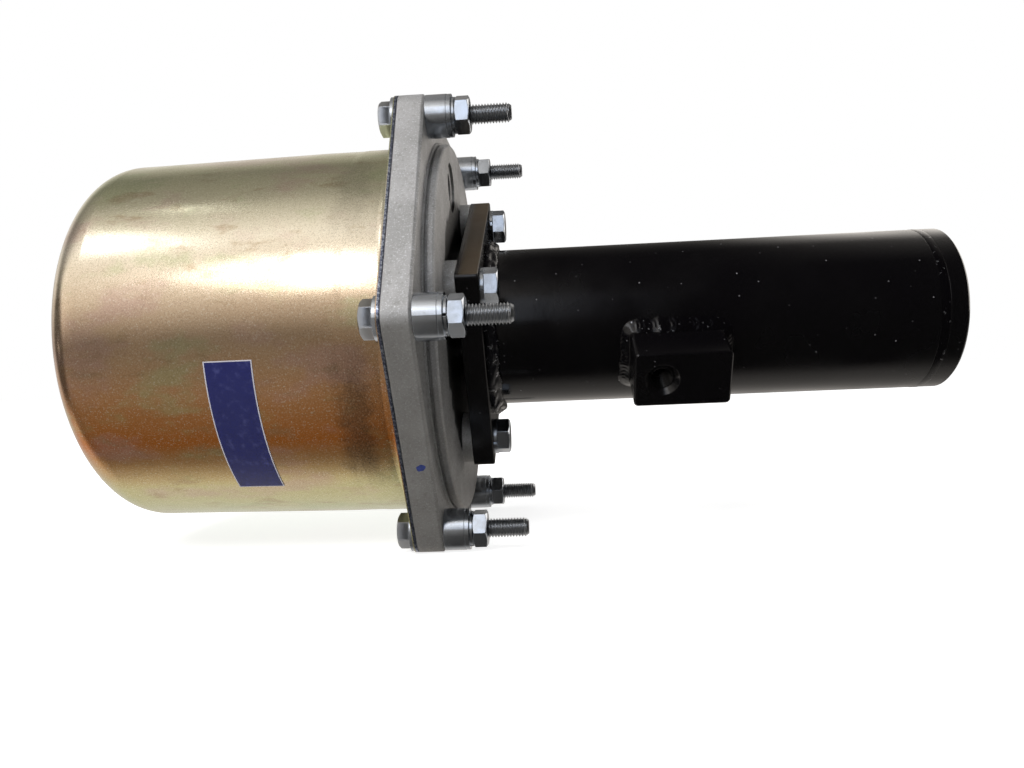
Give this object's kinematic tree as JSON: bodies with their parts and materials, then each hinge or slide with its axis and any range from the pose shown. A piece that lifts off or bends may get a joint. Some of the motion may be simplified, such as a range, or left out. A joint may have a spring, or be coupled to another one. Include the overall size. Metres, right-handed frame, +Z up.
{
  "type": "air brake chamber",
  "caption": "Piston air brake chamber: deep-drawn cup bolted to a cast cover, with a welded spring tube, a side bracket and a sprung push rod.",
  "frame": {"origin": "on the chamber's axis, in the plane of the flange nuts' outer faces, where a carrier seats over the free bolt ends", "axes": "+X along the axis, from the cup's closed end towards the push rod's exit; +Z up, square to a flat side of the hexagonal flange; +Y through a flange bolt"},
  "size_m": [0.393, 0.2184, 0.1916],
  "materials": {
    "yellow_zinc_steel": "deep-drawn steel, yellow zinc passivate",
    "cast_aluminium": "sand cast, shot blasted",
    "plated_steel": "bright zinc plate",
    "black_paint": "gloss black paint over steel",
    "rubber": "moulded nitrile rubber",
    "bronze": "sintered bronze",
    "plastic_guide": "turned guide strip",
    "hard_chrome": "ground and hard chromed",
    "turned_aluminium": "turned",
    "spring_steel": "oil tempered wire",
    "label_film": "bare navy film"
  },
  "bodies": {
    "chamber": {"cylinder_cup": "yellow_zinc_steel", "inlet_boss": "yellow_zinc_steel", "inlet_weld": "yellow_zinc_steel", "label": "label_film", "flange_bolts": "plated_steel", "bolt_head_washers": "plated_steel", "spacer_sleeves": "plated_steel", "flat_washers": "plated_steel", "spring_washers": "plated_steel", "flange_nuts": "plated_steel", "end_cover": "cast_aluminium", "cover_seal": "rubber", "rod_bush": "bronze", "tube_flange": "black_paint", "spring_tube": "black_paint", "tube_flange_weld": "black_paint", "tube_flange_bolts": "plated_steel", "tube_flange_washers": "plated_steel", "tube_end_cap": "black_paint", "end_cap_weld": "black_paint", "end_bush": "bronze", "wiper_ring": "rubber", "bracket": "black_paint", "bracket_weld": "black_paint", "return_spring": "spring_steel"},
    "piston_rod": {"piston": "turned_aluminium", "piston_seal": "rubber", "guide_ring": "plastic_guide", "push_rod": "hard_chrome", "rod_seal": "rubber", "rod_washer": "plated_steel", "rod_nut": "plated_steel", "seat_ring": "spring_steel", "spring_seat": "plated_steel"}
  },
  "joints": [
    {"name": "piston_slide", "type": "slide", "parent": "chamber", "child": "piston_rod", "axis": [1, 0, 0], "range_m": [0, 0.08], "stiffness_N_per_m": 15000, "springref_m": -0.031, "deforming": ["return_spring"]}
  ]
}
